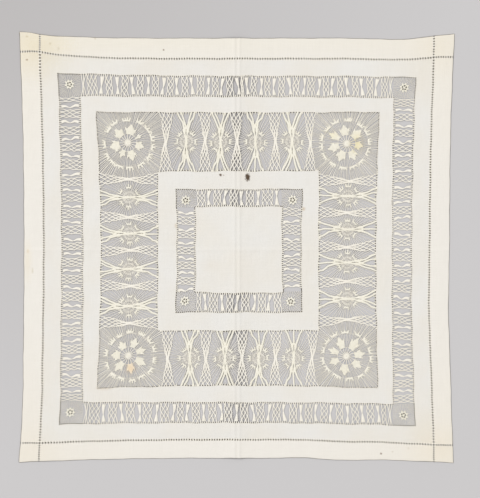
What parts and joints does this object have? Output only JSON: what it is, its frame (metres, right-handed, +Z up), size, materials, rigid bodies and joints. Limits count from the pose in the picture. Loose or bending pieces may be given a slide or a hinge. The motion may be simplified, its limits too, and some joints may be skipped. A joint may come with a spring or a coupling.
{
  "type": "drawn-thread linen square",
  "caption": "Square linen cloth lying flat, with a hemstitched hem, drawn-thread bands of woven bow ties, lattices and trunks, and needle-made corner wheels.",
  "frame": {"origin": "middle of the cloth's bounding box, on the flat underside", "axes": "+Z up out of the cloth's face, +X to the right and +Y to the top of the cloth as it lies"},
  "size_m": [0.617, 0.6108, 0.0017],
  "materials": {
    "linen": "matte",
    "thread": "matte"
  },
  "bodies": {
    "root": {"lace_square": "linen"}
  },
  "joints": []
}
